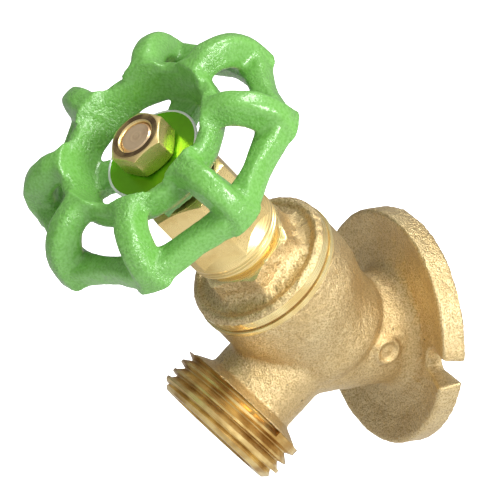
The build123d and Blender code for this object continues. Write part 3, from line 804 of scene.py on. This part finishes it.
def enamel(name):
    """Thick green enamel over a rough casting: glossy, pebbled in patches, with painted shade darkening its
    hollows.
    """
    material = new_material(name)
    where = add_node(material, "ShaderNodeTexCoord", {}).outputs["Object"]
    pebbles = add_node(
        material, "ShaderNodeTexNoise", {"Vector": where, "Scale": 1 / (PAINT_PEBBLE * MM), "Detail": 3.0}
    ).outputs["Fac"]
    lumps = add_node(
        material, "ShaderNodeTexNoise", {"Vector": where, "Scale": 1 / (PAINT_LUMP * MM), "Detail": 2.0}
    ).outputs["Fac"]
    patches = add_node(
        material, "ShaderNodeTexNoise", {"Vector": where, "Scale": 1 / (PAINT_PATCH * MM), "Detail": 2.0}
    ).outputs["Fac"]
    thin = add_node(
        material, "ShaderNodeMapRange", {"Value": patches, "From Min": 0.42, "From Max": 0.6}
    ).outputs[0]
    pebble_depth = add_node(
        material, "ShaderNodeMapRange", {"Value": thin, "To Min": 0.3, "To Max": 1.0}
    ).outputs[0]
    # The paint is painted darker where its pebbles lie low: painted shade in their hollows.
    painted_hollow_shade = add_node(
        material, "ShaderNodeMapRange", {"Value": pebbles, "From Min": 0.35, "From Max": 0.6}
    ).outputs[0]
    coat = add_node(
        material, "ShaderNodeMix", {0: painted_hollow_shade, 6: linear("#5E9D38"), 7: linear("#70AD50")}, data_type="RGBA"
    ).outputs[2]
    lumpy = add_node(
        material, "ShaderNodeBump", {"Height": lumps, "Strength": 0.6, "Distance": 0.35 * MM}
    ).outputs[0]
    pebbled = add_node(
        material, "ShaderNodeBump",
        {"Height": pebbles, "Strength": pebble_depth, "Distance": 0.3 * MM, "Normal": lumpy},
    ).outputs[0]
    shader = add_node(
        material, "ShaderNodeBsdfPrincipled",
        {
            "Base Color": coat, "Roughness": 0.4, "IOR": 1.5, "Coat Weight": 0.7, "Coat Roughness": 0.1,
            "Normal": pebbled, "Coat Normal": pebbled,
        },
    )
    add_node(material, "ShaderNodeOutputMaterial", {"Surface": shader.outputs[0]})
    return material


wheel_casting = make_piece("wheel_casting", wheel, stem_frame, [enamel("green_enamel")], crease=180)
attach(wheel_casting, "stem")
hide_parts("handwheel")

# Plate
# A thin disc pressed from aluminium sheet, anodised green on its face, with a bright edge that stands a
# little higher. The handle nut clamps it on the hub.
PLATE_EDGE = 0.42
PLATE_EDGE_ROUND = 0.1
PLATE_DISH = 0.06
PLATE_STEP = 0.05
PLATE_CLOUD = 1.5
plate_low, plate_high, plate_radius = span("handwheel_plate", stem_frame)


def anodised(name, colour, metallic, roughness):
    """Anodised aluminium: clear metallic colour, faintly clouded where fingers and weather have dulled it."""
    material = new_material(name)
    where = add_node(material, "ShaderNodeTexCoord", {}).outputs["Object"]
    cloud = add_node(
        material, "ShaderNodeTexNoise", {"Vector": where, "Scale": 1 / (PLATE_CLOUD * MM), "Detail": 4.0}
    ).outputs["Fac"]
    gloss = add_node(
        material, "ShaderNodeMapRange",
        {"Value": cloud, "To Min": roughness * 0.8, "To Max": roughness * 1.3},
    ).outputs[0]
    shader = add_node(
        material, "ShaderNodeBsdfPrincipled",
        {"Base Color": linear(colour), "Metallic": metallic, "Roughness": gloss},
    )
    add_node(material, "ShaderNodeOutputMaterial", {"Surface": shader.outputs[0]})
    return material


plate_face = plate_high - PLATE_DISH
plate_corners = [
    (STEM_BORE, plate_low), (plate_radius, plate_low), (plate_radius, plate_high - PLATE_EDGE_ROUND),
    (plate_radius - PLATE_EDGE_ROUND, plate_high), (plate_radius - PLATE_EDGE, plate_high),
    (plate_radius - PLATE_EDGE - PLATE_STEP, plate_face), (STEM_BORE, plate_face),
]
plate_shape = spun(plate_corners, ROUND_STEPS, closed=True)
number = plate_shape.verts.layers.int["number"]
for face in plate_shape.faces:
    on_face = min(vert[number] for vert in face.verts) >= len(plate_corners) - 2
    face.material_index = 1 if on_face else 0
# The edge is bare and silvery, and the face shines through a clear deep green.
plate_finishes = [
    anodised("bright_aluminium", "#F2F4F4", metallic=0.4, roughness=0.3),
    anodised("green_anodising", "#7CC820", metallic=0.7, roughness=0.22),
]
plate = make_piece("name_plate", plate_shape, stem_frame, plate_finishes, crease=30)
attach(plate, "stem")
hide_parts("handwheel_plate")

# Handle nut
# A brass nut turned from hexagon bar, with its corners cut by a cone at both ends. It runs down on the
# stem's threaded end and clamps the plate and the handwheel.
HANDLE_NUT_HEXAGON = 10.1
HANDLE_NUT_TURN = 19.5
HANDLE_NUT_TOP_RADIUS = 4.7
HANDLE_NUT_BORE = 3.24
handle_low, handle_high = span("handle_nut", stem_frame)[:2]
handle_shape = hexagon_nut(
    handle_low, handle_high, HANDLE_NUT_HEXAGON, HANDLE_NUT_TURN, HANDLE_NUT_TOP_RADIUS, HANDLE_NUT_BORE
)
# Its top face is painted dark as shade too.
handle_nut_bar = make_piece("handle_nut_bar", handle_shape, stem_frame, [drawn_brass, painted_shade_top_brass], crease=30)
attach(handle_nut_bar, "stem")
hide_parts("handle_nut")

# Studio
# A plain pale floor under the valve, a white backdrop and two soft lamps. The camera stands as it stood for
# the photograph, fitted to the outlines of the flange, the bonnet and the handwheel.
CAMERA_TARGET = Vector((0, -28.55, 0))
CAMERA_BACK = Vector((0.76904, -0.48934, 0.41126))
CAMERA_RIGHT = Vector((0.49658, 0.86248, 0.09765))
CAMERA_UP = Vector((-0.40248, 0.12913, 0.90627))
CAMERA_DISTANCE = 1000
CAMERA_SLIDE = (-3.623, 17.268)
CAMERA_LENS = 392.1
CAMERA_REACH = 20
FLOOR_DROP = 0.09
FLOOR_SIZE = 6.0
LAMP_SIDE = (0.8, 0.28, 0.53)
FLOOR_LEVELS = (0.24, 0.85)
WALL_LEVELS = (0.18, 0.6)
ROOM_LEVEL = 0.65


def backdrop_level(owner, spot, start, end, levels, room_level):
    """How brightly the backdrop glows: white to the camera and through glass, and less in metal.

    In metal it goes from the darker level to the brighter one between two distances towards the lamps.
    """
    rays = add_node(owner, "ShaderNodeLightPath", {}).outputs
    seen = add_node(
        owner, "ShaderNodeMath", {0: rays["Is Camera Ray"], 1: rays["Is Transmission Ray"]},
        operation="MAXIMUM",
    ).outputs[0]
    toward_lamps = add_node(
        owner, "ShaderNodeVectorMath", {0: spot, 1: LAMP_SIDE}, operation="DOT_PRODUCT"
    ).outputs["Value"]
    mirrored = add_node(
        owner, "ShaderNodeMapRange",
        {"Value": toward_lamps, "From Min": start, "From Max": end, "To Min": levels[0], "To Max": levels[1]},
    ).outputs[0]
    unseen = add_node(
        owner, "ShaderNodeMix", {0: rays["Is Glossy Ray"], 2: room_level, 3: mirrored}, data_type="FLOAT"
    ).outputs[0]
    return add_node(owner, "ShaderNodeMath", {0: seen, 1: unseen}, operation="MAXIMUM").outputs[0]


floor_shape = bmesh.new()
bmesh.ops.create_grid(floor_shape, x_segments=2, y_segments=2, size=FLOOR_SIZE)
bmesh.ops.translate(floor_shape, vec=(0, 0, -FLOOR_DROP), verts=floor_shape.verts)
floor_paint = new_material("floor_paint")
spot = add_node(floor_paint, "ShaderNodeTexCoord", {}).outputs["Object"]
floor_level = backdrop_level(floor_paint, spot, start=-0.25, end=0.05, levels=FLOOR_LEVELS, room_level=0.0)
# Paint that is white to the eye is grey in the brass, so that the lamps on the floor don't bleach it.
in_metal = add_node(floor_paint, "ShaderNodeLightPath", {}).outputs["Is Glossy Ray"]
pale = add_node(
    floor_paint, "ShaderNodeMix", {0: in_metal, 6: linear("#E4E4E4"), 7: linear("#505050")},
    data_type="RGBA",
).outputs[2]
matt = add_node(floor_paint, "ShaderNodeBsdfDiffuse", {"Color": pale}).outputs[0]
glow = add_node(
    floor_paint, "ShaderNodeEmission", {"Color": linear("#FFFFFF"), "Strength": floor_level}
).outputs[0]
floor_shader = add_node(floor_paint, "ShaderNodeAddShader", {0: matt, 1: glow})
add_node(floor_paint, "ShaderNodeOutputMaterial", {"Surface": floor_shader.outputs[0]})
floor = make_piece("floor", floor_shape, Matrix.Identity(4), [floor_paint])

world = bpy.data.worlds.new("studio")
bpy.context.scene.world = world
world.use_nodes = True
world.node_tree.nodes.clear()
outward = add_node(world, "ShaderNodeTexCoord", {}).outputs["Generated"]
wall_level = backdrop_level(world, outward, start=-0.7, end=0.6, levels=WALL_LEVELS, room_level=ROOM_LEVEL)
backdrop = add_node(world, "ShaderNodeBackground", {"Color": linear("#FFFFFF"), "Strength": wall_level})
add_node(world, "ShaderNodeOutputWorld", {"Surface": backdrop.outputs[0]})


def lamp(name, place, size, power):
    """A soft square lamp, in metres and watts, aimed at the valve."""
    light = bpy.data.lights.new(name, "AREA")
    light.size = size
    light.energy = power
    source = bpy.data.objects.new(name, light)
    source.location = place
    source.rotation_euler = (CAMERA_TARGET * MM - source.location).to_track_quat("-Z", "Y").to_euler()
    bpy.context.scene.collection.objects.link(source)


lamp("key", place=(0.8, 0.1, 0.55), size=0.35, power=8.5)
lamp("top", place=(0.0, 0.1, 0.95), size=0.3, power=4.5)

camera = bpy.data.objects.new("camera", bpy.data.cameras.new("camera"))
camera.data.lens = CAMERA_LENS
camera.data.clip_end = CAMERA_REACH
slide = CAMERA_RIGHT * CAMERA_SLIDE[0] + CAMERA_UP * CAMERA_SLIDE[1]
camera.location = (CAMERA_TARGET + CAMERA_BACK * CAMERA_DISTANCE + slide) * MM
camera.rotation_euler = Matrix((CAMERA_RIGHT, CAMERA_UP, CAMERA_BACK)).transposed().to_euler()
bpy.context.scene.collection.objects.link(camera)
bpy.context.scene.camera = camera
bpy.context.scene.view_settings.view_transform = "Standard"
